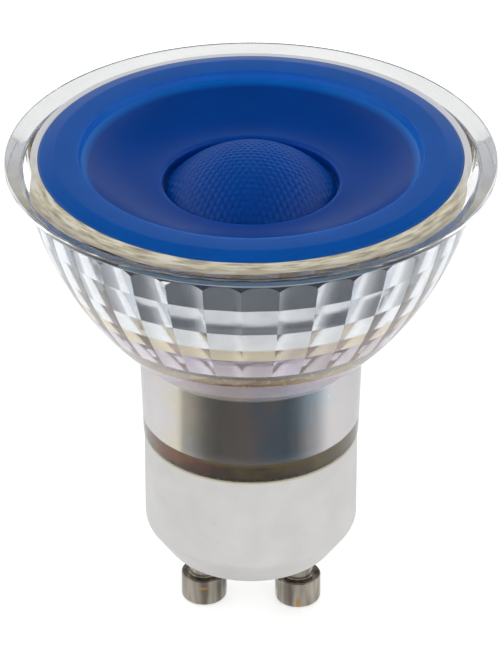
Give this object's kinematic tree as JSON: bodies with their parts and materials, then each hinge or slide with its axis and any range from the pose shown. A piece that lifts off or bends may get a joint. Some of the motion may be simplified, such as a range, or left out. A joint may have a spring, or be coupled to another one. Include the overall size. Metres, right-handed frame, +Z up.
{
  "type": "spotlight bulb",
  "caption": "Spotlight bulb: faceted glass reflector with a flared rim, dished blue front lens with a beaded dome, white ceramic cap and headed twist-lock contact pins.",
  "frame": {"origin": "midway between the contact pins, on the plane of their ends", "axes": "+Z up the lamp axis from the pins to the lens, X through the contact pins"},
  "size_m": [0.05, 0.05, 0.0541],
  "materials": {
    "clear_glass": "pressed clear glass, mirror coated on the inside",
    "blue_lens": "translucent blue polycarbonate, satin",
    "pale_silicone": "cured silicone",
    "amber_silicone": "cured silicone",
    "brown_cement": "rough",
    "white_ceramic": "matt",
    "nickel": "satin nickel plate",
    "aluminium": "pressed, bare",
    "white_board": "matt white mask",
    "led_white": "moulded",
    "phosphor": "cured",
    "green_board": "solder mask",
    "black_sleeve": "shrunk sleeve",
    "ferrite": "sintered",
    "ochre_dip": "dipped",
    "black_mould": "moulded",
    "green_lacquer": "lacquered",
    "white_lead": "extruded sleeve",
    "red_lead": "extruded sleeve",
    "black_lead": "extruded sleeve"
  },
  "bodies": {
    "root": {"glass_reflector": "clear_glass", "front_lens": "blue_lens", "lens_bond": "pale_silicone", "plate_bond": "amber_silicone", "neck_cement": "brown_cement", "base_cap": "white_ceramic", "contact_pin_left": "nickel", "contact_pin_right": "nickel", "heat_sink": "aluminium", "led_board": "white_board", "led_package": "led_white", "led_phosphor": "phosphor", "driver_board": "green_board", "bulk_capacitor": "black_sleeve", "choke": "ferrite", "film_capacitor": "ochre_dip", "bridge_rectifier": "black_mould", "driver_chip": "black_mould", "fusible_resistor": "green_lacquer", "mains_lead_left": "white_lead", "mains_lead_right": "white_lead", "led_lead_positive": "red_lead", "led_lead_negative": "black_lead"}
  },
  "joints": []
}
